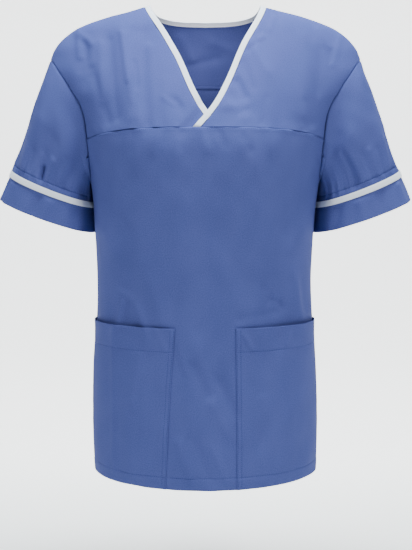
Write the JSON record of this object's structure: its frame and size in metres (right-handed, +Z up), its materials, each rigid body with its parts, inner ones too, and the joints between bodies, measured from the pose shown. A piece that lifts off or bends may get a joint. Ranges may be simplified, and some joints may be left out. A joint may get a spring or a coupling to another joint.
{
  "type": "scrub tunic",
  "caption": "Short-sleeved V-necked scrub tunic with lapped neck, yokes, white trim and patch pockets, filled out as if worn.",
  "frame": {"origin": "at the height of the two neck points, midway between the shoulders, on the line of the shoulder seams, where the wearer holds the tunic up", "axes": "+Z up along the tunic, +X to the wearer's left, -Y out of the chest"},
  "size_m": [0.6514, 0.2696, 0.7356],
  "materials": {
    "blue_cloth": "smooth plain-woven polyester and cotton with a slight sheen",
    "white_trim": "smooth woven binding and tape"
  },
  "bodies": {
    "root": {"front_body": "blue_cloth", "front_yoke_right": "blue_cloth", "front_yoke_left": "blue_cloth", "back_yoke": "blue_cloth", "back_body": "blue_cloth", "sleeve_right": "blue_cloth", "sleeve_left": "blue_cloth", "cuff_right": "blue_cloth", "cuff_left": "blue_cloth", "cuff_tape_right": "white_trim", "cuff_tape_left": "white_trim", "neck_binding_right": "white_trim", "neck_binding_left": "white_trim", "neck_binding_back": "white_trim", "pocket_right": "blue_cloth", "pocket_left": "blue_cloth"}
  },
  "joints": []
}
